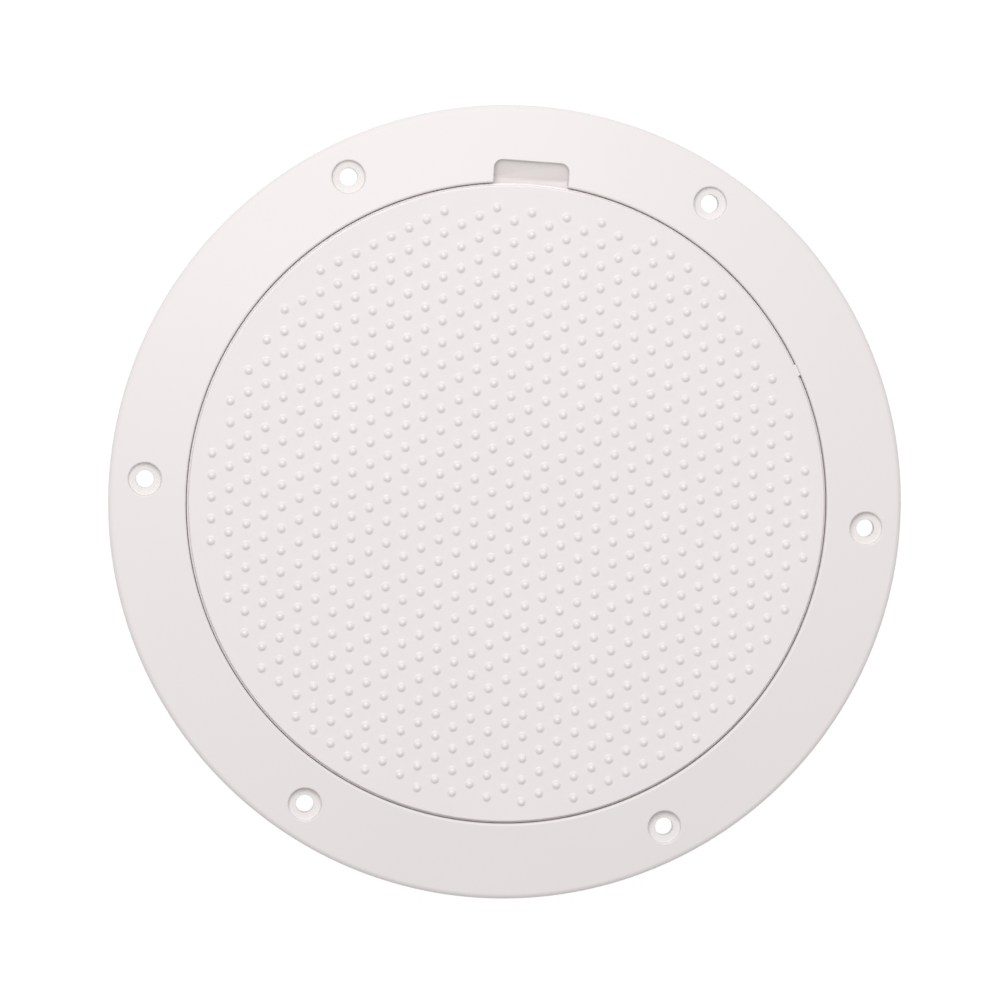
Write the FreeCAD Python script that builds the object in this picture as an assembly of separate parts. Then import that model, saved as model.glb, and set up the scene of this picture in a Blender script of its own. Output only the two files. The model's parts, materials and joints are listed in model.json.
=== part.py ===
import FreeCAD, Part
import math
import os

# A pry-out deck inspection plate: a flanged ring for a hole in a deck, the beaded lid that presses
# into it, and the rubber ring that seals and grips the lid.
# Millimetres. The deck's surface is z = 0, +Z points out of the deck, the axis of the plate is the
# Z axis, and the pry notch lies towards +Y.

# Frame: the flange on the deck, which is as wide as this beyond the pocket's wall
flange_width = 19.75
face_height = 6.0
edge_height = 3.4
edge_round = 1.7
pocket_round = 0.6

# Frame: the opening, the ledge that carries the lid, and the collar through the deck
bore_radius = 76.2
ledge_width = 5.65
ledge_height = 2.7
lead_in = 0.8
collar_wall = 3.0
collar_depth = 19.0
collar_edge_round = 0.8

# Frame: screw holes for sunk pan heads, this far out from the pocket's wall, the first one on +X
screw_count = 6
screw_inset = 10.65
screw_hole_radius = 2.3
head_recess_radius = 4.4
head_recess_draft = 0.35
head_floor_height = 3.0

# Frame: channel for sealant in the underside, this far out from the pocket's wall, broken by a
# boss round each screw hole
channel_inset = 3.65
channel_width = 11.3
channel_depth = 1.2
boss_wall = 3.2

# Frame: pry notch, whose floor slopes down towards the lid, is level for this far beyond the pocket's
# wall, and runs on under the lid's rim
notch_width = 19.2
notch_reach = 5.55
notch_corner_radius = 2.2
notch_outer_floor = 4.15
notch_inner_floor = 1.5
notch_level_run = 1.15
notch_seal_land = 2.6

# Lid: the plate that lies flush in the pocket, its upper edge rounded off in narrow flats, with a
# step round it that leaves a shallow groove along the seam
lid_clearance = 0.15
seat_clearance = 0.05
lid_edge_round = 0.35
lid_edge_flats = 2
lid_step_width = 0.5
lid_step_depth = 1.3
lid_thickness = 3.0

# Lid: the skirt that goes down inside the bore
skirt_clearance = 0.5
skirt_wall = 5.2
skirt_depth = 11.0
skirt_chamfer = 1.0

# Lid: the seal's groove and the rubber ring, which is wider than it is free because it is squeezed
groove_drop = 3.2
groove_width = 4.7
groove_depth = 2.6
seal_cord_diameter = 3.53
seal_clearance = 0.15

# Lid: ribs under the plate
rib_count = 6
rib_thickness = 2.0
rib_depth = 3.0
hub_radius = 10.0

# Lid: beads in staggered rows, in a round field that keeps clear of the lid's rim by this margin and
# sits slightly off the lid's centre
bead_pitch = 4.98
bead_radius = 1.45
bead_height = 0.8
bead_sides = 4
bead_field_margin = 4.7
bead_field_x = 0.34
bead_field_y = -0.41
bead_row_angle = 29.63

# Lid: the small nib that crosses the step, just below the face
nib_angle = 28.8
nib_length = 3.0
nib_height = 2.2
nib_drop = 0.1
nib_clearance = 0.1

# Sizes that follow from the ones above
pocket_radius = bore_radius + ledge_width
flange_radius = pocket_radius + flange_width
screw_circle_radius = pocket_radius + screw_inset
channel_inner_radius = pocket_radius + channel_inset
collar_radius = bore_radius + collar_wall
lid_radius = pocket_radius - lid_clearance
lid_face_radius = lid_radius - lid_step_width
bead_field_radius = lid_radius - bead_field_margin
lid_underside = face_height - lid_thickness
rim_underside = ledge_height + seat_clearance
skirt_radius = bore_radius - skirt_clearance
skirt_bottom = ledge_height - skirt_depth
groove_top = ledge_height - groove_drop
groove_bottom = groove_top - groove_width
groove_root_radius = skirt_radius - groove_depth
notch_start = bore_radius + lead_in + notch_seal_land
notch_end = pocket_radius + notch_reach

AXIS = FreeCAD.Vector(0, 0, 1)
ORIGIN = FreeCAD.Vector(0, 0, 0)
OVERCUT = 1.0


def profile_point(point):
    """Point of a turned profile: radius along X, height along Z."""
    return FreeCAD.Vector(point[0], 0, point[1])


def rounded_corner(before, corner, after, radius):
    """Start, middle and end of the arc of this radius that rounds one corner of a polygon."""
    to_before = (before - corner).normalize()
    to_after = (after - corner).normalize()
    half_angle = to_before.getAngle(to_after) / 2
    tangent = radius / math.tan(half_angle)
    inward = (to_before + to_after).normalize()
    centre = corner + inward * (radius / math.sin(half_angle))
    return corner + to_before * tangent, centre - inward * radius, corner + to_after * tangent


def turned(corners):
    """Solid turned about Z from a closed outline of (radius, height, corner rounding)."""
    points = [profile_point(corner) for corner in corners]
    count = len(points)
    edges = []
    starts = []
    ends = []
    arcs = []
    for index in range(count):
        rounding = corners[index][2]
        corner = points[index]
        if rounding > 0:
            after = points[(index + 1) % count]
            first, middle, last = rounded_corner(points[index - 1], corner, after, rounding)
            starts.append(first)
            ends.append(last)
            arcs.append(Part.Arc(first, middle, last).toShape())
        else:
            starts.append(corner)
            ends.append(corner)
            arcs.append(None)
    for index in range(count):
        if arcs[index] is not None:
            edges.append(arcs[index])
        edges.append(Part.makeLine(ends[index], starts[(index + 1) % count]))
    face = Part.Face(Part.Wire(edges))
    return face.revolve(ORIGIN, AXIS, 360)


def upright(radius, low, high, x=0.0, y=0.0):
    """Upright cylinder between two heights."""
    return Part.makeCylinder(radius, high - low, FreeCAD.Vector(x, y, low), AXIS)


def frame_blank():
    """Flange, pocket, ledge and collar, turned in one go, before anything is cut out of them."""
    return turned([
        (bore_radius, -collar_depth, 0),
        (collar_radius, -collar_depth, collar_edge_round),
        (collar_radius, 0, 0),
        (flange_radius, 0, 0),
        (flange_radius, edge_height, edge_round),
        (pocket_radius, face_height, pocket_round),
        (pocket_radius, ledge_height, 0),
        (bore_radius + lead_in, ledge_height, 0),
        (bore_radius, ledge_height - lead_in, 0),
    ])


def flange_top(radius):
    """Height of the flange's sloping face at a distance from the axis."""
    fall = (face_height - edge_height) / (flange_radius - pocket_radius)
    return face_height - fall * (radius - pocket_radius)


def screw_places():
    """Centres of the screw holes, evenly spaced on their circle."""
    step = 2 * math.pi / screw_count
    return [(screw_circle_radius * math.cos(step * k), screw_circle_radius * math.sin(step * k))
            for k in range(screw_count)]


def screw_recess(x, y):
    """Through hole with a flat-floored recess for the head, whose wall leans out towards the top."""
    through = upright(screw_hole_radius, -OVERCUT, face_height + OVERCUT, x, y)
    recess_depth = flange_top(screw_circle_radius) - head_floor_height
    lean = head_recess_draft / recess_depth
    height = face_height - head_floor_height + OVERCUT
    floor_radius = head_recess_radius - head_recess_draft
    top_radius = floor_radius + lean * height
    place = FreeCAD.Vector(x, y, head_floor_height)
    recess = Part.makeCone(floor_radius, top_radius, height, place, AXIS)
    return through.fuse(recess)


def pry_notch():
    """Notch with two rounded corners in plan, and a floor that slopes down and is level at the lid."""
    half = notch_width / 2
    bend = notch_corner_radius
    diagonal = bend * (1 - math.sqrt(0.5))
    low = -OVERCUT
    left = FreeCAD.Vector(-half, notch_start, low)
    right = FreeCAD.Vector(half, notch_start, low)
    right_wall = FreeCAD.Vector(half, notch_end - bend, low)
    right_mid = FreeCAD.Vector(half - diagonal, notch_end - diagonal, low)
    right_end = FreeCAD.Vector(half - bend, notch_end, low)
    left_end = FreeCAD.Vector(bend - half, notch_end, low)
    left_mid = FreeCAD.Vector(diagonal - half, notch_end - diagonal, low)
    left_wall = FreeCAD.Vector(-half, notch_end - bend, low)
    outline = Part.Wire([
        Part.makeLine(left, right),
        Part.makeLine(right, right_wall),
        Part.Arc(right_wall, right_mid, right_end).toShape(),
        Part.makeLine(right_end, left_end),
        Part.Arc(left_end, left_mid, left_wall).toShape(),
        Part.makeLine(left_wall, left),
    ])
    top = face_height + OVERCUT
    plan = Part.Face(outline).extrude(FreeCAD.Vector(0, 0, top - low))
    side = Part.makePolygon([
        FreeCAD.Vector(-half, notch_start, notch_inner_floor),
        FreeCAD.Vector(-half, pocket_radius + notch_level_run, notch_inner_floor),
        FreeCAD.Vector(-half, notch_end, notch_outer_floor),
        FreeCAD.Vector(-half, notch_end, top),
        FreeCAD.Vector(-half, notch_start, top),
        FreeCAD.Vector(-half, notch_start, notch_inner_floor),
    ])
    return Part.Face(side).extrude(FreeCAD.Vector(notch_width, 0, 0)).common(plan)


def sealant_channel():
    """Ring-shaped channel in the underside, left solid round each screw hole."""
    outer = channel_inner_radius + channel_width
    ring = turned([
        (channel_inner_radius, -OVERCUT, 0),
        (outer, -OVERCUT, 0),
        (outer, channel_depth, 0),
        (channel_inner_radius, channel_depth, 0),
    ])
    boss_radius = screw_hole_radius + boss_wall
    bosses = [upright(boss_radius, -2 * OVERCUT, channel_depth + OVERCUT, x, y) for x, y in screw_places()]
    return ring.cut(bosses)


def make_frame():
    """The frame: one moulding, turned and then cut."""
    cutters = [screw_recess(x, y) for x, y in screw_places()]
    cutters.append(pry_notch())
    cutters.append(sealant_channel())
    return frame_blank().cut(cutters)


def lid_edge():
    """Corners of the flats on the lid's upper edge, which lie on a quarter circle."""
    corners = []
    for index in range(lid_edge_flats + 1):
        turn = index * math.pi / 2 / lid_edge_flats
        radius = lid_face_radius - lid_edge_round * (1 - math.cos(turn))
        height = face_height - lid_edge_round * (1 - math.sin(turn))
        corners.append((radius, height, 0))
    return corners


def lid_blank():
    """Flat plate, stepped rim and grooved skirt, turned in one go."""
    step_height = face_height - lid_step_depth
    return turned([
        (0, lid_underside, 0),
        (skirt_radius - skirt_wall, lid_underside, 0),
        (skirt_radius - skirt_wall, skirt_bottom, 0),
        (skirt_radius - skirt_chamfer, skirt_bottom, 0),
        (skirt_radius, skirt_bottom + skirt_chamfer, 0),
        (skirt_radius, groove_bottom, 0),
        (groove_root_radius, groove_bottom, 0),
        (groove_root_radius, groove_top, 0),
        (skirt_radius, groove_top, 0),
        (skirt_radius, rim_underside, 0),
        (lid_radius, rim_underside, 0),
        (lid_radius, step_height, 0),
        (lid_face_radius, step_height, 0),
        *lid_edge(),
        (0, face_height, 0),
    ])


def lid_ribs():
    """A round hub and straight ribs from it into the skirt, sunk a little into the plate."""
    low = lid_underside - rib_depth
    high = lid_underside + lid_thickness / 2
    length = skirt_radius - skirt_wall / 2
    pieces = [upright(hub_radius, low, high)]
    for index in range(rib_count):
        rib = Part.makeBox(length, rib_thickness, high - low, FreeCAD.Vector(0, -rib_thickness / 2, low))
        rib.rotate(ORIGIN, AXIS, index * 360 / rib_count)
        pieces.append(rib)
    return pieces


def lid_nib():
    """The small block that fills the groove along the seam at one place."""
    outer = pocket_radius - nib_clearance
    inner = lid_face_radius - lid_edge_round
    top = face_height - nib_drop
    ring = upright(outer, top - nib_height, top)
    bar = Part.makeBox(outer - inner, nib_length, nib_height,
                       FreeCAD.Vector(inner, -nib_length / 2, top - nib_height))
    nib = ring.common(bar)
    nib.rotate(ORIGIN, AXIS, nib_angle)
    return nib


def bead_places():
    """Centres of the beads: rows one pitch apart, each moved half a pitch along from the last."""
    reach = int(2 * bead_field_radius / bead_pitch)
    turn = math.radians(bead_row_angle)
    places = []
    for row in range(-reach, reach + 1):
        for step in range(-reach, reach + 1):
            along = bead_pitch * (step + row / 2)
            across = bead_pitch * row
            if math.hypot(along, across) < bead_field_radius:
                x = bead_field_x + along * math.cos(turn) - across * math.sin(turn)
                y = bead_field_y + along * math.sin(turn) + across * math.cos(turn)
                places.append((x, y))
    return places


def bead(x, y):
    """One bead as a low pyramid: its outline as a hole in the lid's face, and its sloping facets."""
    corners = []
    for side in range(bead_sides):
        turn = math.radians(bead_row_angle) + 2 * math.pi * side / bead_sides
        out_x = bead_radius * math.cos(turn)
        out_y = bead_radius * math.sin(turn)
        corners.append(FreeCAD.Vector(x + out_x, y + out_y, face_height))
    tip = FreeCAD.Vector(x, y, face_height + bead_height)
    base = [Part.makeLine(corners[k - 1], corners[k]) for k in range(bead_sides)]
    slopes = [Part.makeLine(corner, tip) for corner in corners]
    facets = [Part.Face(Part.Wire([base[k], slopes[k], slopes[k - 1]])) for k in range(bead_sides)]
    outline = Part.Wire(base)
    outline.reverse()
    return outline, facets


def is_lid_face(face):
    """True for the flat face that the beads stand on."""
    box = face.BoundBox
    return box.ZMin > face_height - 1e-6 and box.ZMax < face_height + 1e-6


def make_lid():
    """The lid: turned plate and skirt with ribs and nib, its face opened up for each bead."""
    body = lid_blank().fuse(lid_ribs() + [lid_nib()]).removeSplitter()
    skin = [face for face in body.Faces if not is_lid_face(face)]
    plate = [face for face in body.Faces if is_lid_face(face)][0]
    outlines = []
    for x, y in bead_places():
        outline, facets = bead(x, y)
        outlines.append(outline)
        skin.extend(facets)
    skin.append(Part.Face([plate.OuterWire] + outlines))
    shell = Part.Compound(skin)
    shell.sewShape()
    return Part.Solid(shell.Shells[0])


def make_seal():
    """The rubber ring, squeezed between the groove's root and the bore to two flats and two half rounds."""
    outer = bore_radius - seal_clearance
    thickness = outer - groove_root_radius
    area = math.pi * seal_cord_diameter ** 2 / 4
    width = thickness + (area - math.pi * thickness ** 2 / 4) / thickness
    middle = (groove_top + groove_bottom) / 2
    low = middle - width / 2
    high = middle + width / 2
    half_round = thickness / 2
    inner_low = profile_point((groove_root_radius, low + half_round))
    inner_high = profile_point((groove_root_radius, high - half_round))
    outer_low = profile_point((outer, low + half_round))
    outer_high = profile_point((outer, high - half_round))
    crown = profile_point((groove_root_radius + half_round, high))
    foot = profile_point((groove_root_radius + half_round, low))
    section = Part.Wire([
        Part.makeLine(inner_low, inner_high),
        Part.Arc(inner_high, crown, outer_high).toShape(),
        Part.makeLine(outer_high, outer_low),
        Part.Arc(outer_low, foot, inner_low).toShape(),
    ])
    return Part.Face(section).revolve(ORIGIN, AXIS, 360)


os.makedirs("parts", exist_ok=True)
make_frame().exportStep("parts/deck_frame.step")
make_lid().exportStep("parts/lid.step")
make_seal().exportStep("parts/lid_o_ring.step")
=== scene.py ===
"""A pry-out deck inspection plate in moulded white plastic: flanged frame, beaded lid and seal ring.

Metres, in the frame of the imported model: the deck's surface is z = 0, +Z points out of the deck, and
the pry notch lies towards +Y. Every piece is a surface of revolution or a stack of plan outlines,
worked out as whole arrays and then joined or cut by exact booleans.
"""

import json
import math

import bmesh
import bpy
import numpy as np
from mathutils import Matrix, Vector


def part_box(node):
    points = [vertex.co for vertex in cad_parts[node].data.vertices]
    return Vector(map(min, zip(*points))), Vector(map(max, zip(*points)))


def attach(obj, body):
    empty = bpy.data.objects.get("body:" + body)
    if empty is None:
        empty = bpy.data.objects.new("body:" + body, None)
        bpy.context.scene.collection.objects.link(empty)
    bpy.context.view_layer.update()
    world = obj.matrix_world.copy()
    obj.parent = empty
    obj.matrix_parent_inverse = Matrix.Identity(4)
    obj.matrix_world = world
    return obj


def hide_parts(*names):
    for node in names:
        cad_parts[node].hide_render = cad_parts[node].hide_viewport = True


bl_info = {
    "name": "Deck Inspection Plate",
    "version": (1, 0, 0),
    "blender": (4, 5, 0),
    "location": "3D View > Sidebar > Deck Plate",
    "description": "A pry-out deck plate of three pieces, with its moulded finishes and a studio",
    "category": "Add Mesh",
}

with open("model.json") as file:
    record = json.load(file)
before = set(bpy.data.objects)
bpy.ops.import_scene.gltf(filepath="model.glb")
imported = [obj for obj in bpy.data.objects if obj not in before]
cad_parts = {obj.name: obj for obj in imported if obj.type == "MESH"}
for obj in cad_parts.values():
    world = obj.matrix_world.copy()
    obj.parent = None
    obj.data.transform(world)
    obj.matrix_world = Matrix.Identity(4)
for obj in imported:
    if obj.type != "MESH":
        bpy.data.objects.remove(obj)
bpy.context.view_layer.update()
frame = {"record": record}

MM = 0.001
FRAME_LOW, FRAME_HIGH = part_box("deck_frame")
LID_LOW, LID_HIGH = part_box("lid")
SEAL_LOW, SEAL_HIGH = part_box("lid_o_ring")
MOUNTS = {mount["name"]: mount["dims"] for mount in frame["record"]["mounts"]}
SCREWS = MOUNTS["deck_screws"]
COLLAR = MOUNTS["deck_cutout_collar"]

# Segments round the axis in turned pieces, round a screw recess and round a bead, and steps in an arc
TURNED_SEGMENTS = 288
RECESS_SEGMENTS = 64
BEAD_SEGMENTS = 12
ARC_STEPS = 6

# How far a cutter reaches past the surface that it opens
CUT_PAST = 2 * MM

# Edges that turn by more than this stay crisp
CRISP_ANGLE = math.radians(32)
WELD_DISTANCE = 1e-6

# The darkest share of a plastic's own colour in its slow drift
DRIFT = 0.985


def linear_colour(hex_code):
    """Linear RGBA of an sRGB hex code: each channel over 255, through the sRGB curve."""
    channels = [int(hex_code[start:start + 2], 16) / 255 for start in (1, 3, 5)]
    curved = [c / 12.92 if c <= 0.04045 else ((c + 0.055) / 1.055) ** 2.4 for c in channels]
    return (*curved, 1.0)


def length(label, text, millimetres):
    """A length property, given in millimetres and kept in metres."""
    return bpy.props.FloatProperty(
        name=label, description=text, default=millimetres * MM, unit="LENGTH", precision=5)


def share(label, text, value, top=1.0):
    """A plain number from nought to a top."""
    return bpy.props.FloatProperty(name=label, description=text, default=value, min=0.0, max=top)


def colour(label, text, hex_code):
    """A colour property from an sRGB hex code."""
    return bpy.props.FloatVectorProperty(
        name=label, description=text, default=linear_colour(hex_code), size=4, subtype="COLOR",
        min=0.0, max=1.0)


class FrameSizes(bpy.types.PropertyGroup):
    """Sizes of the flanged frame."""
    flange_radius: length("Flange Radius", "Outer radius of the flange", FRAME_HIGH.x / MM)
    face_height: length("Face Height", "Height of the flange at the pocket, above the deck", 6.0)
    edge_height: length("Edge Height", "Height of the flange's slope at its outer edge", 3.4)
    edge_round: length("Edge Rounding", "Rounding of the flange's outer edge", 1.7)
    pocket_radius: length("Pocket Radius", "Radius of the pocket that the lid lies in", 81.85)
    pocket_round: length("Pocket Rounding", "Rounding of the pocket's upper edge", 0.6)
    bore_radius: length("Bore Radius", "Radius of the clear opening", 76.2)
    ledge_height: length("Ledge Height", "Height of the ledge that the lid rests on", 2.7)
    lead_in: length("Lead-in", "Chamfer between the ledge and the bore", 0.8)
    collar_radius: length("Collar Radius", "Outer radius of the collar through the deck", COLLAR["r_mm"])
    collar_depth: length("Collar Depth", "How far the collar reaches below the deck", -FRAME_LOW.z / MM)
    collar_round: length("Collar Rounding", "Rounding of the collar's lower outer edge", 0.8)
    mould_round: length("Mould Rounding", "Small rounding in the mould's inner corners", 0.35)
    channel_inner: length("Channel Inner Radius", "Inner radius of the sealant channel below", 85.5)
    channel_outer: length("Channel Outer Radius", "Outer radius of the sealant channel below", 96.8)
    channel_depth: length("Channel Depth", "Depth of the sealant channel", 1.2)
    channel_round: length("Channel Rounding", "Rounding of the channel's corners", 0.3)
    boss_radius: length("Boss Radius", "Radius of the solid boss round each screw hole", 5.5)


class RecessSizes(bpy.types.PropertyGroup):
    """Sizes of the screw holes and of the recesses for the screws' heads."""
    count: bpy.props.IntProperty(
        name="Screw Holes", description="How many screw holes the flange has", default=SCREWS["count"])
    circle: length("Circle Radius", "Radius of the circle that the holes lie on", SCREWS["pcd_mm"] / 2)
    hole: length("Hole Radius", "Radius of the through hole", SCREWS["hole_r_mm"])
    top: length("Recess Radius", "Radius of the head's recess at its top", 4.22)
    floor: length("Recess Floor Radius", "Radius of the recess at its floor", 4.14)
    floor_height: length("Recess Floor Height", "Height of the recess's flat floor", 3.0)
    rim: length("Recess Rim", "Rounding where the recess meets the flange", 0.4)
    corner: length("Recess Corner", "Rounding between the floor and the wall", 0.3)
    lip: length("Hole Lip", "Rounding between the floor and the through hole", 0.15)


class NotchSizes(bpy.types.PropertyGroup):
    """Sizes of the pry notch."""
    width: length("Notch Width", "Width along the seam", 19.2)
    low: length("Notch Inner End", "Distance from the axis to the notch's inner end", 79.6)
    high: length("Notch Outer Wall", "Distance from the axis to the notch's straight outer wall", 87.4)
    bend: length("Notch Bend", "Radius of the two outer corners in plan", 2.2)
    inner_bend: length("Notch Inner Bend", "Radius of the two corners below the lid in plan", 0.7)
    inner_floor: length("Notch Inner Floor", "Height of the level floor at the lid", 1.5)
    outer_floor: length("Notch Outer Floor", "Height of the sloping floor at the outer wall", 4.15)
    fold: length("Notch Fold", "Distance from the axis to where the floor starts to slope", 83.0)
    rim: length("Notch Rim", "Rounding where the walls meet the flange", 0.25)
    corner: length("Notch Corner", "Rounding between the floor and the walls", 0.25)


class LidSizes(bpy.types.PropertyGroup):
    """Sizes of the lid's plate, rim, skirt and ribs."""
    radius: length("Lid Radius", "Outer radius of the lid's rim", LID_HIGH.x / MM)
    face_radius: length("Face Radius", "Radius of the lid's face, inside the step round it", 81.2)
    edge_round: length("Edge Rounding", "Rounding of the face's edge", 0.35)
    margin: length("Face Margin", "Plain flat ring between the beaded face and the rounding", 0.3)
    step_height: length("Step Height", "Height of the step round the face", 4.7)
    underside: length("Underside", "Height of the plate's underside", 3.0)
    rim_underside: length("Rim Underside", "Height of the rim's underside, just above the ledge", 2.75)
    skirt_radius: length("Skirt Radius", "Outer radius of the skirt", 75.7)
    skirt_wall: length("Skirt Wall", "Wall of the skirt", 5.2)
    skirt_bottom: length("Skirt Bottom", "Height of the skirt's lower edge", LID_LOW.z / MM)
    skirt_chamfer: length("Skirt Chamfer", "Chamfer on the skirt's lower edge", 1.0)
    groove_top: length("Groove Top", "Height of the seal groove's upper side", -0.5)
    groove_bottom: length("Groove Bottom", "Height of the seal groove's lower side", -5.2)
    groove_root: length("Groove Root", "Radius of the seal groove's root", 73.1)
    rib_half: length("Rib Half Width", "Half the thickness of a rib", 1.0)
    rib_bottom: length("Rib Bottom", "Height of the ribs' lower edges", 0.0)
    rib_chamfer: length("Rib Chamfer", "Chamfer on the ribs' lower edges", 0.3)
    rib_root: length("Rib Root", "How far the ribs' tops reach into the plate", 1.0)
    rib_count: bpy.props.IntProperty(name="Ribs", description="Ribs below the plate", default=6)
    hub_radius: length("Hub Radius", "Radius of the boss where the ribs meet", 10.0)
    corner: length("Mould Rounding", "Small rounding of the moulding's other edges", 0.3)


class NibSizes(bpy.types.PropertyGroup):
    """Sizes of the nib on the lid's rim that crosses the seam."""
    turn: bpy.props.FloatProperty(
        name="Nib Turn", description="Where the nib lies round the rim", default=math.radians(28.8),
        subtype="ANGLE")
    width: length("Nib Width", "Width along the seam", 3.0)
    outer: length("Nib Outer Radius", "Distance from the axis to the nib's outer face", 81.82)
    top: length("Nib Top", "Height of the nib's top", 5.93)
    depth: length("Nib Depth", "Height of the nib", 2.2)
    rounding: length("Nib Rounding", "Rounding of the nib's edges", 0.1)


class BeadSizes(bpy.types.PropertyGroup):
    """Sizes of the beads on the lid and of the round field that they fill."""
    pitch: length("Bead Pitch", "Distance between beads in a row, and between rows", 4.98)
    radius: length("Bead Radius", "Radius of a bead at its foot", 1.35)
    height: length("Bead Height", "Height of a bead above the lid's face", 0.8)
    dome: share("Bead Dome", "Share of the bead's radius that is domed, inside its foot", 0.7)
    power: share("Dome Power", "Power of the dome's fall, higher for a broader top", 2.5, 6.0)
    field: length("Field Radius", "Radius of the field, from its middle bead", 77.0)
    offset: bpy.props.FloatVectorProperty(
        name="Field Offset", description="Where the field's middle bead lies", size=2, unit="LENGTH",
        precision=5, default=(0.34 * MM, -0.41 * MM))
    turn: bpy.props.FloatProperty(
        name="Row Turn", description="Direction of the rows", default=math.radians(29.63),
        subtype="ANGLE")


class SealSizes(bpy.types.PropertyGroup):
    """Sizes of the rubber ring, squeezed between the groove's root and the bore."""
    inner: length("Seal Inner Radius", "Radius at the groove's root", 73.1)
    outer: length("Seal Outer Radius", "Radius where it meets the bore", SEAL_HIGH.x / MM)
    bottom: length("Seal Bottom", "Height of its lower side", SEAL_LOW.z / MM)
    top: length("Seal Top", "Height of its upper side", SEAL_HIGH.z / MM)
    flat: length("Seal Flat", "Half the flat that is left between two roundings", 0.01)


class Finishes(bpy.types.PropertyGroup):
    """Colours of the three mouldings and of the studio's floor."""
    frame_white: colour("Frame White", "Polished white of the flanged frame", "#E8E3E2")
    lid_white: colour("Lid White", "Satin white of the lid", "#E8E2E2")
    rubber_black: colour("Rubber Black", "Black of the seal", "#1D1D1E")
    floor_white: colour("Floor White", "Floor below the plate", "#FFFFFF")


class Studio(bpy.types.PropertyGroup):
    """The camera at the photograph's viewing angle, and the plain soft light."""
    aim: bpy.props.FloatVectorProperty(
        name="Aim", description="Point that the camera looks at", size=3, unit="LENGTH", precision=5,
        default=(-1.69 * MM, 0.69 * MM, 0.0))
    distance: length("Distance", "Camera to aim point", 1100.0)
    tilt: bpy.props.FloatProperty(
        name="Tilt", description="Angle between the view and the plate's axis", subtype="ANGLE",
        default=math.radians(4.72))
    tilt_turn: bpy.props.FloatProperty(
        name="Tilt Direction", description="Which way round the axis the camera leans", subtype="ANGLE",
        default=math.radians(148.4))
    up_turn: bpy.props.FloatProperty(
        name="Up Direction", description="Direction on the plate that is upright in the picture",
        subtype="ANGLE", default=math.radians(94.1))
    lens: bpy.props.FloatProperty(
        name="Lens", description="Focal length in millimetres on a 36 mm sensor", default=154.58)
    softbox_turn: bpy.props.FloatProperty(
        name="Softbox Direction", description="Which way round the axis the softbox stands",
        subtype="ANGLE", default=math.radians(110))
    softbox_lean: bpy.props.FloatProperty(
        name="Softbox Lean", description="Angle between the softbox's direction and the plate's axis",
        subtype="ANGLE", default=math.radians(28))
    softbox_distance: length("Softbox Distance", "Softbox to plate", 1500.0)
    softbox_side: length("Softbox Side", "Side of the square softbox", 900.0)
    softbox_power: bpy.props.FloatProperty(
        name="Softbox Power", description="Power of the softbox", default=14.9, min=0.0, unit="POWER")
    fill: share("Fill", "Strength of the even light from all round", 0.497, 2.0)
    floor_half: length("Floor Half Side", "Half the side of the square floor", 6000.0)


class DeckPlate(bpy.types.PropertyGroup):
    """Everything that can be set on the deck plate."""
    frame: bpy.props.PointerProperty(type=FrameSizes)
    recess: bpy.props.PointerProperty(type=RecessSizes)
    notch: bpy.props.PointerProperty(type=NotchSizes)
    lid: bpy.props.PointerProperty(type=LidSizes)
    nib: bpy.props.PointerProperty(type=NibSizes)
    beads: bpy.props.PointerProperty(type=BeadSizes)
    seal: bpy.props.PointerProperty(type=SealSizes)
    finishes: bpy.props.PointerProperty(type=Finishes)
    studio: bpy.props.PointerProperty(type=Studio)


def rounded_outline(corners, closed):
    """Outline through (x, y, rounding) corners, as an array of points.

    A corner with a rounding becomes an arc tangent to both its sides: the arc's ends lie at
    rounding / tan(half the corner's angle) from the corner, and its points are evenly turned about a
    centre on the bisector.
    """
    points = [np.array(corner[:2], float) for corner in corners]
    parts = []
    for index, corner in enumerate(corners):
        inner = closed or 0 < index < len(corners) - 1
        if corner[2] <= 0 or not inner:
            parts.append(points[index][None])
            continue
        before = points[index - 1] - points[index]
        after = points[(index + 1) % len(points)] - points[index]
        before /= np.linalg.norm(before)
        after /= np.linalg.norm(after)
        half = math.acos(np.clip(before @ after, -1, 1)) / 2
        bisector = (before + after) / np.linalg.norm(before + after)
        centre = points[index] + bisector * corner[2] / math.sin(half)
        start = points[index] + before * corner[2] / math.tan(half) - centre
        end = points[index] + after * corner[2] / math.tan(half) - centre
        sweep = math.pi - 2 * half
        at = np.linspace(0, 1, ARC_STEPS + 1)[:, None]
        arc = (np.sin((1 - at) * sweep) * start + np.sin(at * sweep) * end) / math.sin(sweep)
        parts.append(centre + arc)
    return np.concatenate(parts)


def grid_faces(rows, columns, rows_close):
    """Quads between neighbouring points of a grid whose columns run round and close."""
    row = np.arange(rows if rows_close else rows - 1)[:, None]
    column = np.arange(columns)[None]
    next_row = (row + 1) % rows
    next_column = (column + 1) % columns
    corners = [
        row * columns + column,
        row * columns + next_column,
        next_row * columns + next_column,
        next_row * columns + column,
    ]
    return np.stack(np.broadcast_arrays(*corners), axis=-1).reshape(-1, 4)


def new_mesh(name, points, faces):
    """Mesh from points and faces, its doubled points merged and its faces turned outwards."""
    mesh = bpy.data.meshes.new(name)
    mesh.from_pydata(points.tolist(), [], [list(face) for face in faces])
    return weld(mesh)


def weld(mesh):
    """Merges doubled points, drops what collapses, and turns the faces outwards."""
    work = bmesh.new()
    work.from_mesh(mesh)
    bmesh.ops.remove_doubles(work, verts=work.verts, dist=WELD_DISTANCE)
    bmesh.ops.recalc_face_normals(work, faces=work.faces)
    work.to_mesh(mesh)
    work.free()
    return mesh


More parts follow.
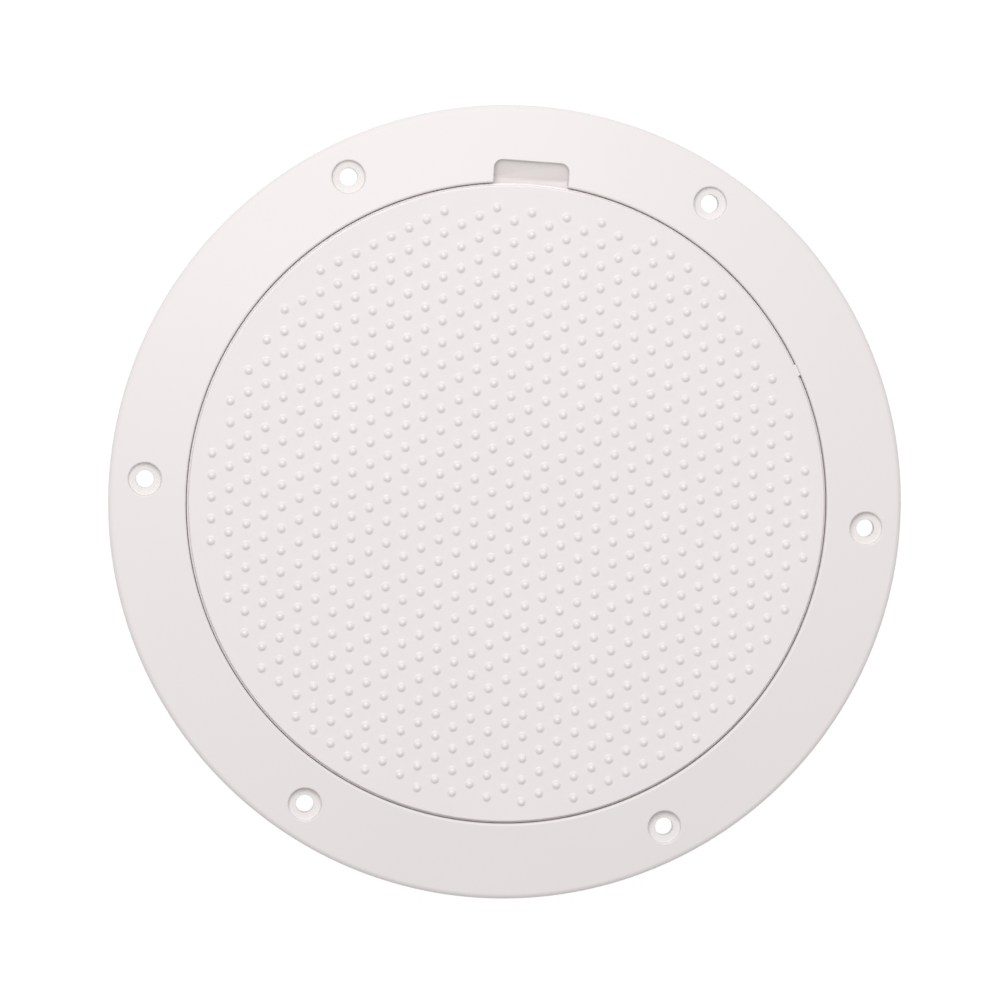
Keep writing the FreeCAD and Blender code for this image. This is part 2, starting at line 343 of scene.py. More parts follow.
def turned_mesh(name, profile, closed, segments=TURNED_SEGMENTS):
    """Profile turned about Z: its point (r, h) at a turn t goes to (r cos t, r sin t, h)."""
    turn = np.linspace(0, 2 * math.pi, segments, endpoint=False)
    radius, height = profile.T[:, :, None]
    x = radius * np.cos(turn)
    y = radius * np.sin(turn)
    z = np.broadcast_to(height, x.shape)
    points = np.stack([x, y, z], axis=-1).reshape(-1, 3)
    return new_mesh(name, points, grid_faces(len(profile), segments, closed))


def stacked_mesh(name, rows, fold=(0, 0)):
    """Closed body from plan outlines with the same number of points, one above the other.

    The rows are an array of (row, point, xyz). Neighbouring rows are joined by quads, and the first
    and last are closed by one flat face each. A fold is a pair of points of the first row: its face
    is then two flat ones that meet between them.
    """
    count, around = rows.shape[:2]
    faces = grid_faces(count, around, False).tolist()
    start, end = fold
    if end > start:
        faces.append(list(range(start, end + 1))[::-1])
    faces.append([*range(end, around), *range(start + 1)][::-1])
    faces.append(list(range((count - 1) * around, count * around)))
    return new_mesh(name, rows.reshape(-1, 3), faces)


def joined_mesh(name, meshes):
    """One mesh that holds all of these, which are used up."""
    work = bmesh.new()
    for mesh in meshes:
        work.from_mesh(mesh)
        bpy.data.meshes.remove(mesh)
    whole = bpy.data.meshes.new(name)
    work.to_mesh(whole)
    work.free()
    return whole


def applied(holder):
    """The holder's mesh with its modifiers applied. The holder is used up."""
    depsgraph = bpy.context.evaluated_depsgraph_get()
    mesh = bpy.data.meshes.new_from_object(holder.evaluated_get(depsgraph))
    bpy.data.objects.remove(holder)
    return mesh


def holder_of(mesh):
    """A linked object that carries a mesh."""
    holder = bpy.data.objects.new(mesh.name, mesh)
    bpy.context.scene.collection.objects.link(holder)
    return holder


def combined(body, tool, operation):
    """Body with a tool's volume added or taken away, by an exact boolean. Both are used up."""
    name = body.name
    holder = holder_of(body)
    tool_holder = holder_of(tool)
    step = holder.modifiers.new(operation, "BOOLEAN")
    step.operation = operation
    step.solver = "EXACT"
    step.object = tool_holder
    result = applied(holder)
    bpy.data.objects.remove(tool_holder)
    bpy.data.meshes.remove(tool)
    bpy.data.meshes.remove(body)
    result.name = name
    return weld(result)


def finished_piece(name, mesh, material, body, node):
    """Object of a finished mesh, softly shaded between crisp edges, in the place of its CAD node."""
    mesh.materials.clear()
    mesh.materials.append(material)
    mesh.shade_smooth()
    mesh.set_sharp_from_angle(angle=CRISP_ANGLE)
    holder = holder_of(mesh)
    even = holder.modifiers.new("Even Normals", "WEIGHTED_NORMAL")
    even.keep_sharp = True
    shaded = applied(holder)
    bpy.data.meshes.remove(mesh)
    shaded.name = name
    piece = holder_of(shaded)
    piece.name = name
    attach(piece, body)
    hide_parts(node)
    return piece


def add_node(tree, kind, sockets=None, **settings):
    """Adds a node with its settings, and links or fills the named sockets."""
    node = tree.nodes.new(kind)
    for name, value in settings.items():
        setattr(node, name, value)
    for name, value in (sockets or {}).items():
        if isinstance(value, bpy.types.NodeSocket):
            tree.links.new(value, node.inputs[name])
        else:
            node.inputs[name].default_value = value
    return node


def per_metre(millimetres):
    """Scale of a noise whose features are this wide, on Object coordinates in metres."""
    return 1 / (millimetres * MM)


def new_material(name):
    """An empty material's node tree with its shader, and its Object coordinates."""
    material = bpy.data.materials.new(name)
    material.use_nodes = True
    tree = material.node_tree
    tree.nodes.clear()
    shader = add_node(tree, "ShaderNodeBsdfPrincipled")
    add_node(tree, "ShaderNodeOutputMaterial", {"Surface": shader.outputs["BSDF"]})
    place = add_node(tree, "ShaderNodeTexCoord").outputs["Object"]
    return material, tree, shader, place


def colour_ramp(tree, factor, low, high):
    """Colour that runs between two (position, colour) stops."""
    ramp = add_node(tree, "ShaderNodeValToRGB", {"Fac": factor})
    for stop, (position, rgba) in zip(ramp.color_ramp.elements, (low, high)):
        stop.position = position
        stop.color = rgba
    return ramp.outputs["Color"]


def darker(rgba, factor):
    """The same colour with its three channels scaled."""
    return (*[channel * factor for channel in rgba[:3]], rgba[3])


def polished_asa(white):
    """ASA plastic from a polished mould: glossy white.

    The eye sees soft clear reflections, bent a little by a shallow waviness left by the flow of the
    plastic, and a colour that drifts by about a hundredth over a hand's width.
    """
    material, tree, shader, place = new_material("polished moulded ASA, white")
    drift = add_node(tree, "ShaderNodeTexNoise",
                     {"Vector": place, "Scale": per_metre(60), "Detail": 2.0})
    tint = colour_ramp(tree, drift.outputs["Fac"], (0.3, darker(white, DRIFT)), (0.7, white))
    haze = add_node(tree, "ShaderNodeTexNoise",
                    {"Vector": place, "Scale": per_metre(9), "Detail": 4.0, "Roughness": 0.6})
    rough = add_node(tree, "ShaderNodeMapRange",
                     {"Value": haze.outputs["Fac"], "To Min": 0.3, "To Max": 0.37})
    waves = add_node(tree, "ShaderNodeTexNoise",
                     {"Vector": place, "Scale": per_metre(3.5), "Detail": 1.0})
    relief = add_node(tree, "ShaderNodeBump",
                      {"Height": waves.outputs["Fac"], "Distance": 0.006 * MM, "Strength": 0.6})
    shader.inputs["IOR"].default_value = 1.51
    shader.inputs["Specular IOR Level"].default_value = 0.15
    tree.links.new(tint, shader.inputs["Base Color"])
    tree.links.new(rough.outputs["Result"], shader.inputs["Roughness"])
    tree.links.new(relief.outputs["Normal"], shader.inputs["Normal"])
    return material


def satin_asa(white):
    """ASA plastic from a spark-eroded mould: satin white.

    The mould leaves an even grain of about 0.1 mm, drawn here at 0.4 mm so that it shows. The eye sees
    a soft sheen with no clear reflection.
    """
    material, tree, shader, place = new_material("satin moulded ASA, white")
    drift = add_node(tree, "ShaderNodeTexNoise",
                     {"Vector": place, "Scale": per_metre(45), "Detail": 2.0})
    tint = colour_ramp(tree, drift.outputs["Fac"], (0.3, darker(white, DRIFT)), (0.7, white))
    haze = add_node(tree, "ShaderNodeTexNoise",
                    {"Vector": place, "Scale": per_metre(7), "Detail": 4.0, "Roughness": 0.6})
    rough = add_node(tree, "ShaderNodeMapRange",
                     {"Value": haze.outputs["Fac"], "To Min": 0.18, "To Max": 0.24})
    grain = add_node(tree, "ShaderNodeTexNoise",
                     {"Vector": place, "Scale": per_metre(0.4), "Detail": 2.0, "Roughness": 0.6})
    relief = add_node(tree, "ShaderNodeBump",
                      {"Height": grain.outputs["Fac"], "Distance": 0.012 * MM, "Strength": 0.5})
    shader.inputs["IOR"].default_value = 1.51
    tree.links.new(tint, shader.inputs["Base Color"])
    tree.links.new(rough.outputs["Result"], shader.inputs["Roughness"])
    tree.links.new(relief.outputs["Normal"], shader.inputs["Normal"])
    return material


def moulded_epdm(black):
    """EPDM rubber from a mould: matt black.

    A faint grey bloom lies in patches on it, and its skin has a fine pebble of about 0.25 mm.
    """
    material, tree, shader, place = new_material("moulded EPDM rubber, black")
    bloom = add_node(tree, "ShaderNodeTexNoise",
                     {"Vector": place, "Scale": per_metre(5), "Detail": 5.0, "Roughness": 0.65})
    grey = linear_colour("#2E2E2F")
    tint = colour_ramp(tree, bloom.outputs["Fac"], (0.4, black), (0.75, grey))
    rough = add_node(tree, "ShaderNodeMapRange",
                     {"Value": bloom.outputs["Fac"], "To Min": 0.5, "To Max": 0.68})
    pebble = add_node(tree, "ShaderNodeTexNoise",
                      {"Vector": place, "Scale": per_metre(0.25), "Detail": 2.0})
    relief = add_node(tree, "ShaderNodeBump",
                      {"Height": pebble.outputs["Fac"], "Distance": 0.02 * MM, "Strength": 0.6})
    shader.inputs["IOR"].default_value = 1.52
    tree.links.new(tint, shader.inputs["Base Color"])
    tree.links.new(rough.outputs["Result"], shader.inputs["Roughness"])
    tree.links.new(relief.outputs["Normal"], shader.inputs["Normal"])
    return material


def flange_top(sizes, x, y):
    """Height of the flange's sloping face: it falls evenly from the pocket to the outer edge."""
    fall = (sizes.face_height - sizes.edge_height) / (sizes.flange_radius - sizes.pocket_radius)
    return sizes.face_height - fall * (np.hypot(x, y) - sizes.pocket_radius)


def frame_profile(sizes):
    """Closed section of the frame: collar, flange, pocket, ledge and bore."""
    small = sizes.mould_round
    return rounded_outline([
        (sizes.bore_radius, -sizes.collar_depth, small),
        (sizes.collar_radius, -sizes.collar_depth, sizes.collar_round),
        (sizes.collar_radius, 0.0, small),
        (sizes.flange_radius, 0.0, small),
        (sizes.flange_radius, sizes.edge_height, sizes.edge_round),
        (sizes.pocket_radius, sizes.face_height, sizes.pocket_round),
        (sizes.pocket_radius, sizes.ledge_height, small),
        (sizes.bore_radius + sizes.lead_in, sizes.ledge_height, small),
        (sizes.bore_radius, sizes.ledge_height - sizes.lead_in, small),
    ], closed=True)


def rim_flare(rim):
    """Offsets and heights of a rounded rim, from the wall outwards, relative to the face it meets.

    The arc is a quarter round that stops 15 degrees short of lying in the face, and then runs on
    straight so that it crosses the face.
    """
    full_turn = math.radians(90 - 15)
    run = 0.6 * rim
    turn = np.linspace(0, full_turn, ARC_STEPS)
    offset = rim * (1 - np.cos(turn))
    height = rim * (np.sin(turn) - 1)
    offset = np.append(offset, offset[-1] + run * math.sin(turn[-1]))
    height = np.append(height, height[-1] + run * math.cos(turn[-1]))
    return offset, height


def recess_cutter(sizes, recess, turn):
    """Volume of one screw hole: through hole, flat floor, leaning wall and a rounded rim.

    It is turned about the hole's own upright axis. The rows from the wall's top on follow the flange:
    they are raised or lowered at each point by its height there, and moved out or in by the wall's lean.
    """
    centre_x = recess.circle * math.cos(turn)
    centre_y = recess.circle * math.sin(turn)
    middle = float(flange_top(sizes, centre_x, centre_y))
    wall = rounded_outline([
        (recess.hole, -CUT_PAST, 0),
        (recess.hole, recess.floor_height, recess.lip),
        (recess.floor, recess.floor_height, recess.corner),
        (recess.top, middle - recess.rim, 0),
    ], closed=False)
    offset, height = rim_flare(recess.rim)
    radius = np.concatenate([wall[:, 0], recess.top + offset, [recess.top + offset[-1]]])
    level = np.concatenate([wall[:, 1], middle + height, [middle + CUT_PAST]])
    follows = np.concatenate([np.zeros(len(wall) - 1), np.ones(len(offset) + 1), [0.0]])[:, None]
    around = np.linspace(0, 2 * math.pi, RECESS_SEGMENTS, endpoint=False)
    rim_x = centre_x + recess.top * np.cos(around)
    rim_y = centre_y + recess.top * np.sin(around)
    lean = (recess.top - recess.floor) / (middle - recess.floor_height)
    reach = radius[:, None] + follows * lean * (flange_top(sizes, rim_x, rim_y) - middle)
    x = centre_x + reach * np.cos(around)
    y = centre_y + reach * np.sin(around)
    z = level[:, None] + follows * (flange_top(sizes, x, y) - middle)
    return stacked_mesh("recess", np.stack([x, y, z], axis=-1))


def notch_plan(notch, offset):
    """Plan outline of the notch, moved outwards by an offset, and two of its points.

    It has four runs and four quarter rounds. The two points are where the floor folds, one in the
    middle of each side run.
    """
    inner_bend = notch.inner_bend
    half = notch.width / 2
    steps = np.linspace(0, 1, ARC_STEPS + 1)[:-1, None]
    quarter = np.linspace(0, math.pi / 2, ARC_STEPS + 1)
    centres = [
        (half - notch.bend, notch.high - notch.bend, notch.bend, 0),
        (notch.bend - half, notch.high - notch.bend, notch.bend, 1),
        (inner_bend - half, notch.low + inner_bend, inner_bend, 2),
        (half - inner_bend, notch.low + inner_bend, inner_bend, 3),
    ]
    corners = []
    for x, y, bend, quadrant in centres:
        turn = quarter + quadrant * math.pi / 2
        reach = bend + offset
        corners.append(np.stack([x + reach * np.cos(turn), y + reach * np.sin(turn)], axis=-1))
    parts = []
    for index, arc in enumerate(corners):
        start, end = arc[-1], corners[(index + 1) % len(corners)][0]
        middle = (start + end) / 2
        if index % 2:
            middle[1] = notch.fold
        before = start * (1 - steps) + middle * steps
        after = middle * (1 - steps) + end * steps
        parts.append(np.concatenate([arc, before[1:], after]))
    to_middle = len(quarter) + len(steps) - 1
    fold = (len(parts[0]) + to_middle, 3 * len(parts[0]) + to_middle)
    return np.concatenate(parts), fold


def notch_cutter(sizes, notch):
    """Volume of the pry notch: a floor, level and then sloping, upright walls and a rounded rim."""
    slope = (notch.outer_floor - notch.inner_floor) / (notch.high - notch.fold)
    quarter = np.linspace(0, math.pi / 2, ARC_STEPS + 1)
    rows = []
    for turn in quarter:
        plan, fold = notch_plan(notch, notch.corner * (math.sin(turn) - 1))
        floor = notch.inner_floor + slope * np.maximum(plan[:, 1] - notch.fold, 0)
        rows.append(np.column_stack([plan, floor + notch.corner * (1 - math.cos(turn))]))
    for offset, height in zip(*rim_flare(notch.rim)):
        plan = notch_plan(notch, offset)[0]
        rows.append(np.column_stack([plan, flange_top(sizes, plan[:, 0], plan[:, 1]) + height]))
    above = rows[-1].copy()
    above[:, 2] = sizes.face_height + CUT_PAST
    rows.append(above)
    return stacked_mesh("notch", np.array(rows), fold)


def channel_cutter(sizes, recess):
    """Volume of the sealant channel in the underside, less a boss round each screw hole."""
    profile = rounded_outline([
        (sizes.channel_inner, -CUT_PAST / 2, 0),
        (sizes.channel_outer, -CUT_PAST / 2, 0),
        (sizes.channel_outer, sizes.channel_depth, sizes.channel_round),
        (sizes.channel_inner, sizes.channel_depth, sizes.channel_round),
    ], closed=True)
    ring = turned_mesh("channel", profile, closed=True)
    around = np.linspace(0, 2 * math.pi, RECESS_SEGMENTS, endpoint=False)
    levels = (-CUT_PAST, sizes.channel_depth + CUT_PAST)
    bosses = []
    for turn in screw_turns(recess):
        x = recess.circle * math.cos(turn) + sizes.boss_radius * np.cos(around)
        y = recess.circle * math.sin(turn) + sizes.boss_radius * np.sin(around)
        rows = [np.column_stack([x, y, np.full(len(around), level)]) for level in levels]
        bosses.append(stacked_mesh("boss", np.array(rows)))
    return combined(ring, joined_mesh("bosses", bosses), "DIFFERENCE")


def screw_turns(recess):
    """Where the screw holes lie round the flange, evenly spaced with the first on +X."""
    return np.arange(recess.count) * 2 * math.pi / recess.count


def lid_profile(sizes, face_height):
    """Section of the lid from the axis below to the axis above: plate, grooved skirt and stepped rim."""
    small = sizes.corner
    inside = sizes.skirt_radius - sizes.skirt_wall
    foot = sizes.skirt_radius - sizes.skirt_chamfer
    return rounded_outline([
        (0.0, sizes.underside, 0),
        (inside, sizes.underside, 2 * small),
        (inside, sizes.skirt_bottom, small),
        (foot, sizes.skirt_bottom, small),
        (sizes.skirt_radius, sizes.skirt_bottom + sizes.skirt_chamfer, small),
        (sizes.skirt_radius, sizes.groove_bottom, small),
        (sizes.groove_root, sizes.groove_bottom, small),
        (sizes.groove_root, sizes.groove_top, small),
        (sizes.skirt_radius, sizes.groove_top, small),
        (sizes.skirt_radius, sizes.rim_underside, small),
        (sizes.radius, sizes.rim_underside, small),
        (sizes.radius, sizes.step_height, small / 2),
        (sizes.face_radius, sizes.step_height, small / 2),
        (sizes.face_radius, face_height, sizes.edge_round),
        (face_edge(sizes), face_height, 0),
        (0.0, face_height, 0),
    ], closed=False)


def face_edge(sizes):
    """Radius where the lid's flat face ends, just inside the rounding of its rim."""
    return sizes.face_radius - sizes.edge_round - sizes.margin


def rib_plan(sizes, shrink):
    """Plan outline of the hub and its ribs, drawn in by an amount: arcs of the hub and rib ends."""
    half = sizes.rib_half - shrink
    hub = sizes.hub_radius - shrink
    reach = sizes.skirt_radius - sizes.skirt_wall / 2
    opening = math.asin(half / hub)
    step = 2 * math.pi / sizes.rib_count
    along = math.sqrt(hub ** 2 - half ** 2)
    rib = np.array([(along, -half), (reach, -half), (reach, half), (along, half)])
    arc_turn = np.linspace(opening, step - opening, ARC_STEPS + 1)[1:-1]
    arc = np.stack([hub * np.cos(arc_turn), hub * np.sin(arc_turn)], axis=-1)
    sector = np.concatenate([rib, arc])
    turns = np.arange(sizes.rib_count)[:, None] * step
    x = sector[:, 0] * np.cos(turns) - sector[:, 1] * np.sin(turns)
    y = sector[:, 0] * np.sin(turns) + sector[:, 1] * np.cos(turns)
    return np.stack([x.ravel(), y.ravel()], axis=-1)


def rib_body(sizes):
    """The hub and ribs as one body, with a small chamfer below and their tops inside the plate."""
    levels = [
        (sizes.rib_chamfer, sizes.rib_bottom),
        (0.0, sizes.rib_bottom + sizes.rib_chamfer),
        (0.0, sizes.underside + sizes.rib_root),
    ]
    rows = []
    for shrink, height in levels:
        plan = rib_plan(sizes, shrink)
        rows.append(np.column_stack([plan, np.full(len(plan), height)]))
    return stacked_mesh("ribs", np.array(rows))


def nib_body(nib, lid):
    """The nib: a small block with rounded edges, from inside the rim to near the pocket's wall."""
    inner = lid.face_radius - lid.edge_round
    quarter = np.linspace(0, math.pi / 2, ARC_STEPS + 1)
    rows = []
    levels = [(0.0, nib.top - nib.depth)]
    levels += [
        (nib.rounding * (1 - math.cos(turn)), nib.top - nib.rounding * (1 - math.sin(turn)))
        for turn in quarter]
    for shrink, height in levels:
        half = nib.width / 2 - shrink
        bend = nib.rounding
        plan = rounded_outline([
            (inner, -half, 0), (nib.outer - shrink, -half, bend),
            (nib.outer - shrink, half, bend), (inner, half, 0),
        ], closed=True)
        x = plan[:, 0] * math.cos(nib.turn) - plan[:, 1] * math.sin(nib.turn)
        y = plan[:, 0] * math.sin(nib.turn) + plan[:, 1] * math.cos(nib.turn)
        rows.append(np.column_stack([x, y, np.full(len(x), height)]))
    return stacked_mesh("nib", np.array(rows))


def bead_centres(beads):
    """Points of a staggered lattice inside the field: rows one pitch apart, each half a pitch along."""
    reach = int(2 * beads.field / beads.pitch)
    row, step = np.meshgrid(np.arange(-reach, reach + 1), np.arange(-reach, reach + 1))
    along = (beads.pitch * (step + row / 2)).ravel()
    across = (beads.pitch * row).ravel()
    inside = np.hypot(along, across) < beads.field
    along, across = along[inside], across[inside]
    x = beads.offset[0] + along * math.cos(beads.turn) - across * math.sin(beads.turn)
    y = beads.offset[1] + along * math.sin(beads.turn) + across * math.cos(beads.turn)
    return np.stack([x, y], axis=-1)


def bead_section(beads):
    """Shares of the radius at which a bead's five rings lie, from its foot in, and their heights.

    Out to the share b of its radius a bead is a dome with a broad top, as high as its height times
    1 - c share^p, with p the dome's power. Beyond it a foot flows out into the face, as high as its
    height times a (1 - share)². With a = 1 / ((1 - b)² + 2 b (1 - b) / p) and
    c = 2 a (1 - b) / (p b^(p - 1)) the two meet without a crease.
    """
    share_out = np.array([1.0, 0.87, beads.dome, 0.5, 0.26])
    rest = 1 - beads.dome
    steepness = 1 / (rest ** 2 + 2 * beads.dome * rest / beads.power)
    fall = 2 * steepness * rest / (beads.power * beads.dome ** (beads.power - 1))
    dome = 1 - fall * share_out ** beads.power
    foot = steepness * (1 - share_out) ** 2
    return share_out, beads.height * np.where(share_out > beads.dome, foot, dome)


def filled_between(mesh):
    """Mesh with the flat face between all its open edges filled in by triangles."""
    work = bmesh.new()
    work.from_mesh(mesh)
    open_edges = [edge for edge in work.edges if edge.is_wire or edge.is_boundary]
    bmesh.ops.triangle_fill(work, edges=open_edges, use_beauty=True, normal=(0, 0, 1))
    work.to_mesh(mesh)
    work.free()
    return mesh


def beaded_face(beads, lid, face_height):
    """The lid's flat face with every bead on it, as far out as the rounding of the rim.

    A bead is its rings and a tip. The flat face between the beads' feet and the outer circle is
    filled in.
    """
    centres = bead_centres(beads)
    share_out, rise = bead_section(beads)
    around = np.linspace(0, 2 * math.pi, BEAD_SEGMENTS, endpoint=False) + beads.turn
    circle_of_one = np.stack([np.cos(around), np.sin(around)], axis=-1)
    ring = beads.radius * share_out[:, None, None] * circle_of_one
    count, rings = len(centres), len(share_out)
    flat = centres[:, None, None] + ring[None]
    height = np.broadcast_to(face_height + rise[None, :, None, None], (count, rings, BEAD_SEGMENTS, 1))
    sides = np.concatenate([flat, height], axis=-1).reshape(-1, 3)
    tips = np.column_stack([centres, np.full(count, face_height + beads.height)])
    first = np.arange(count)[:, None, None] * rings * BEAD_SEGMENTS
    quads = (grid_faces(rings, BEAD_SEGMENTS, False)[None] + first).reshape(-1, 4)
    last_ring = (rings - 1) * BEAD_SEGMENTS + np.arange(BEAD_SEGMENTS)
    next_in_ring = (rings - 1) * BEAD_SEGMENTS + (np.arange(BEAD_SEGMENTS) + 1) % BEAD_SEGMENTS
    start = np.arange(count)[:, None] * rings * BEAD_SEGMENTS
    tip_index = len(sides) + np.repeat(np.arange(count), BEAD_SEGMENTS)
    caps = np.column_stack([(start + last_ring).ravel(), (start + next_in_ring).ravel(), tip_index])
    turn = np.linspace(0, 2 * math.pi, TURNED_SEGMENTS, endpoint=False)
    edge = face_edge(lid)
    level = np.full(len(turn), face_height)
    circle = np.column_stack([edge * np.cos(turn), edge * np.sin(turn), level])
    circle_index = len(sides) + len(tips) + np.arange(TURNED_SEGMENTS)
    circle_edges = np.column_stack([circle_index, np.roll(circle_index, -1)])
    mesh = bpy.data.meshes.new("beaded face")
    points = np.concatenate([sides, tips, circle])
    mesh.from_pydata(points.tolist(), circle_edges.tolist(), quads.tolist() + caps.tolist())
    return filled_between(mesh)


def open_face(mesh, face_height):
    """Takes the fan of faces round the top of the axis away, which leaves a round opening."""
    work = bmesh.new()
    work.from_mesh(mesh)
    top = Vector((0, 0, face_height))
    poles = [vertex for vertex in work.verts if (vertex.co - top).length < WELD_DISTANCE]
    bmesh.ops.delete(work, geom=poles, context="VERTS")
    work.to_mesh(mesh)
    work.free()
    return mesh


class DECKPLATE_OT_frame(bpy.types.Operator):
    """Make the flanged frame: turned, then cut for the screws, the pry notch and the sealant"""
    bl_idname = "deck_plate.frame"
    bl_label = "Flanged Frame"

    def execute(self, context):
        plate = context.scene.deck_plate
        sizes, recess = plate.frame, plate.recess
        cutters = [recess_cutter(sizes, recess, turn) for turn in screw_turns(recess)]
        cutters.append(notch_cutter(sizes, plate.notch))
        cutters.append(channel_cutter(sizes, recess))
        blank = turned_mesh("flanged_frame", frame_profile(sizes), closed=True)
        mesh = combined(blank, joined_mesh("cutters", cutters), "DIFFERENCE")
        material = polished_asa(plate.finishes.frame_white)
        finished_piece("flanged_frame", mesh, material, "frame", "deck_frame")
        return {"FINISHED"}


class DECKPLATE_OT_lid(bpy.types.Operator):
    """Make the lid: turned, ribbed below, and beaded on its face"""
    bl_idname = "deck_plate.lid"
    bl_label = "Beaded Lid"

    def execute(self, context):
        plate = context.scene.deck_plate
        sizes, face_height = plate.lid, plate.frame.face_height
        blank = turned_mesh("beaded_lid", lid_profile(sizes, face_height), closed=False)
        ribbed = combined(blank, rib_body(sizes), "UNION")
        whole = combined(ribbed, nib_body(plate.nib, sizes), "UNION")
        face = beaded_face(plate.beads, sizes, face_height)
        mesh = weld(joined_mesh("beaded_lid", [open_face(whole, face_height), face]))
        material = satin_asa(plate.finishes.lid_white)
        finished_piece("beaded_lid", mesh, material, "lid", "lid")
        return {"FINISHED"}


class DECKPLATE_OT_seal(bpy.types.Operator):
    """Make the rubber ring in the lid's groove"""
    bl_idname = "deck_plate.seal"
    bl_label = "Seal Ring"

    def execute(self, context):
        plate = context.scene.deck_plate
        sizes = plate.seal
        half = (sizes.outer - sizes.inner) / 2 - sizes.flat
        profile = rounded_outline([
            (sizes.inner, sizes.bottom, half),
            (sizes.outer, sizes.bottom, half),
            (sizes.outer, sizes.top, half),
            (sizes.inner, sizes.top, half),
        ], closed=True)
        mesh = turned_mesh("seal_ring", profile, closed=True)
        material = moulded_epdm(plate.finishes.rubber_black)
        finished_piece("seal_ring", mesh, material, "lid", "lid_o_ring")
        return {"FINISHED"}


def direction(lean, turn):
    """Unit vector that leans from +Z by one angle, towards another round the axis."""
    return Vector((math.sin(lean) * math.cos(turn), math.sin(lean) * math.sin(turn), math.cos(lean)))


def looking_at(place, target, up):
    """Matrix of an object at a place whose -Z axis points at a target and whose Y axis is up."""
    back = (place - target).normalized()
    side = up.cross(back).normalized()
    rise = back.cross(side)
    turned = Matrix((side, rise, back)).transposed().to_4x4()
    return Matrix.Translation(place) @ turned


def floor_finish(white):
    """Matt white paper, shown as the bright background of a cut-out picture.

    To the camera it is nearly as bright as white by itself, so that only a trace of the plate's
    shadow shows. To the plate it is plain paper that throws light back.
    """
    material, tree, shader, place = new_material("matt white paper")
    fibre = add_node(tree, "ShaderNodeTexNoise",
                     {"Vector": place, "Scale": per_metre(2), "Detail": 3.0})
    relief = add_node(tree, "ShaderNodeBump",
                      {"Height": fibre.outputs["Fac"], "Distance": 0.02 * MM, "Strength": 0.2})
    shader.inputs["Base Color"].default_value = darker(white, 0.8)
    shader.inputs["Roughness"].default_value = 0.9
    tree.links.new(relief.outputs["Normal"], shader.inputs["Normal"])
    glow = add_node(tree, "ShaderNodeEmission", {"Color": white, "Strength": 0.97})
    shade = add_node(tree, "ShaderNodeBsdfDiffuse", {"Color": darker(white, 0.06)})
    shown = add_node(tree, "ShaderNodeAddShader")
    tree.links.new(glow.outputs["Emission"], shown.inputs[0])
    tree.links.new(shade.outputs["BSDF"], shown.inputs[1])
    mixed = add_node(tree, "ShaderNodeMixShader", {"Fac": seen_directly(tree)})
    tree.links.new(shader.outputs["BSDF"], mixed.inputs[1])
    tree.links.new(shown.outputs["Shader"], mixed.inputs[2])
    output = next(node for node in tree.nodes if node.type == "OUTPUT_MATERIAL")
    tree.links.new(mixed.outputs["Shader"], output.inputs["Surface"])
    return material


def seen_directly(tree):
    """One for rays from the camera, a gloss or a clear body, and nought for the rest."""
    path = add_node(tree, "ShaderNodeLightPath")
    gloss = add_node(tree, "ShaderNodeMath", operation="MAXIMUM")
    tree.links.new(path.outputs["Is Camera Ray"], gloss.inputs[0])
    tree.links.new(path.outputs["Is Glossy Ray"], gloss.inputs[1])
    clear = add_node(tree, "ShaderNodeMath", operation="MAXIMUM")
    tree.links.new(gloss.outputs["Value"], clear.inputs[0])
    tree.links.new(path.outputs["Is Transmission Ray"], clear.inputs[1])
    return clear.outputs["Value"]


def add_floor(level, half_side, white):
    """A square floor at a height."""
    corners = half_side * np.array([(-1, -1), (1, -1), (1, 1), (-1, 1)])
    points = np.column_stack([corners, np.full(len(corners), level)])
    mesh = bpy.data.meshes.new("studio_floor")
    mesh.from_pydata(points.tolist(), [], [[0, 1, 2, 3]])
    mesh.materials.append(floor_finish(white))
    holder_of(mesh)


def add_softbox(scene, studio):
    """A square softbox that faces the plate."""
    lamp = bpy.data.lights.new("softbox", "AREA")
    lamp.shape = "SQUARE"
    lamp.size = studio.softbox_side
    lamp.energy = studio.softbox_power
    softbox = bpy.data.objects.new("softbox", lamp)
    scene.collection.objects.link(softbox)
    place = studio.softbox_distance * direction(studio.softbox_lean, studio.softbox_turn)
    softbox.matrix_world = looking_at(place, Vector((0, 0, 0)), Vector((0, 0, 1)))


def add_world(scene, strength):
    """A world that lights the plate evenly, and that the camera sees as white."""
    world = bpy.data.worlds.new("white studio")
    world.use_nodes = True
    tree = world.node_tree
    tree.nodes.clear()
    fill = add_node(tree, "ShaderNodeBackground", {"Color": (1, 1, 1, 1), "Strength": strength})
    shown = add_node(tree, "ShaderNodeBackground", {"Color": (1, 1, 1, 1), "Strength": 1.0})
    mixed = add_node(tree, "ShaderNodeMixShader", {"Fac": seen_directly(tree)})
    tree.links.new(fill.outputs["Background"], mixed.inputs[1])
    tree.links.new(shown.outputs["Background"], mixed.inputs[2])
    add_node(tree, "ShaderNodeOutputWorld", {"Surface": mixed.outputs["Shader"]})
    scene.world = world


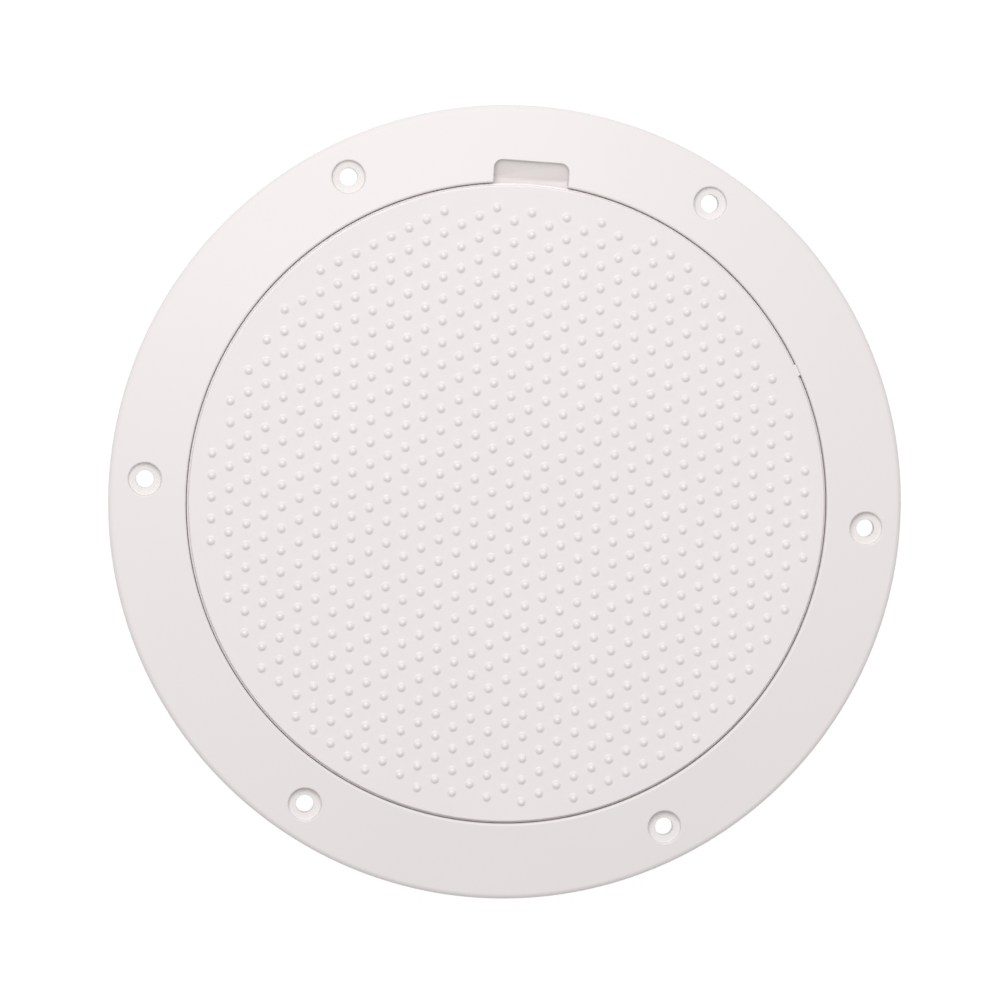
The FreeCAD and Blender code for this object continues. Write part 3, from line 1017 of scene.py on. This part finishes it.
def add_camera(scene, studio):
    """The scene's camera, at the photograph's viewing angle."""
    camera_data = bpy.data.cameras.new("camera")
    camera_data.sensor_width = 36.0
    camera_data.lens = studio.lens
    camera = bpy.data.objects.new("camera", camera_data)
    scene.collection.objects.link(camera)
    aim = Vector(studio.aim)
    place = aim + studio.distance * direction(studio.tilt, studio.tilt_turn)
    camera.matrix_world = looking_at(place, aim, direction(math.pi / 2, studio.up_turn))
    scene.camera = camera


class DECKPLATE_OT_stage(bpy.types.Operator):
    """Set out the white floor, the softbox, the even fill and the camera"""
    bl_idname = "deck_plate.stage"
    bl_label = "Studio"

    def execute(self, context):
        scene = context.scene
        plate = scene.deck_plate
        add_floor(-plate.frame.collar_depth, plate.studio.floor_half, plate.finishes.floor_white)
        add_softbox(scene, plate.studio)
        add_world(scene, plate.studio.fill)
        add_camera(scene, plate.studio)
        scene.view_settings.view_transform = "Standard"
        return {"FINISHED"}


class DECKPLATE_PT_panel(bpy.types.Panel):
    """Panel that lists the pieces of the deck plate"""
    bl_idname = "DECKPLATE_PT_panel"
    bl_label = "Deck Plate"
    bl_space_type = "VIEW_3D"
    bl_region_type = "UI"
    bl_category = "Deck Plate"

    def draw(self, context):
        for operator in OPERATORS:
            self.layout.operator(operator.bl_idname)


GROUPS = [
    FrameSizes, RecessSizes, NotchSizes, LidSizes, NibSizes, BeadSizes, SealSizes, Finishes, Studio,
    DeckPlate,
]
OPERATORS = [DECKPLATE_OT_frame, DECKPLATE_OT_lid, DECKPLATE_OT_seal, DECKPLATE_OT_stage]
CLASSES = GROUPS + OPERATORS + [DECKPLATE_PT_panel]


def register():
    """Registers the sizes, the operators and the panel."""
    for each in CLASSES:
        bpy.utils.register_class(each)
    bpy.types.Scene.deck_plate = bpy.props.PointerProperty(type=DeckPlate)


def unregister():
    """Takes them away again, last first."""
    del bpy.types.Scene.deck_plate
    for each in reversed(CLASSES):
        bpy.utils.unregister_class(each)


def main():
    """Makes the plate and its studio."""
    register()
    bpy.ops.deck_plate.frame()
    bpy.ops.deck_plate.lid()
    bpy.ops.deck_plate.seal()
    bpy.ops.deck_plate.stage()


if __name__ == "__main__":
    main()
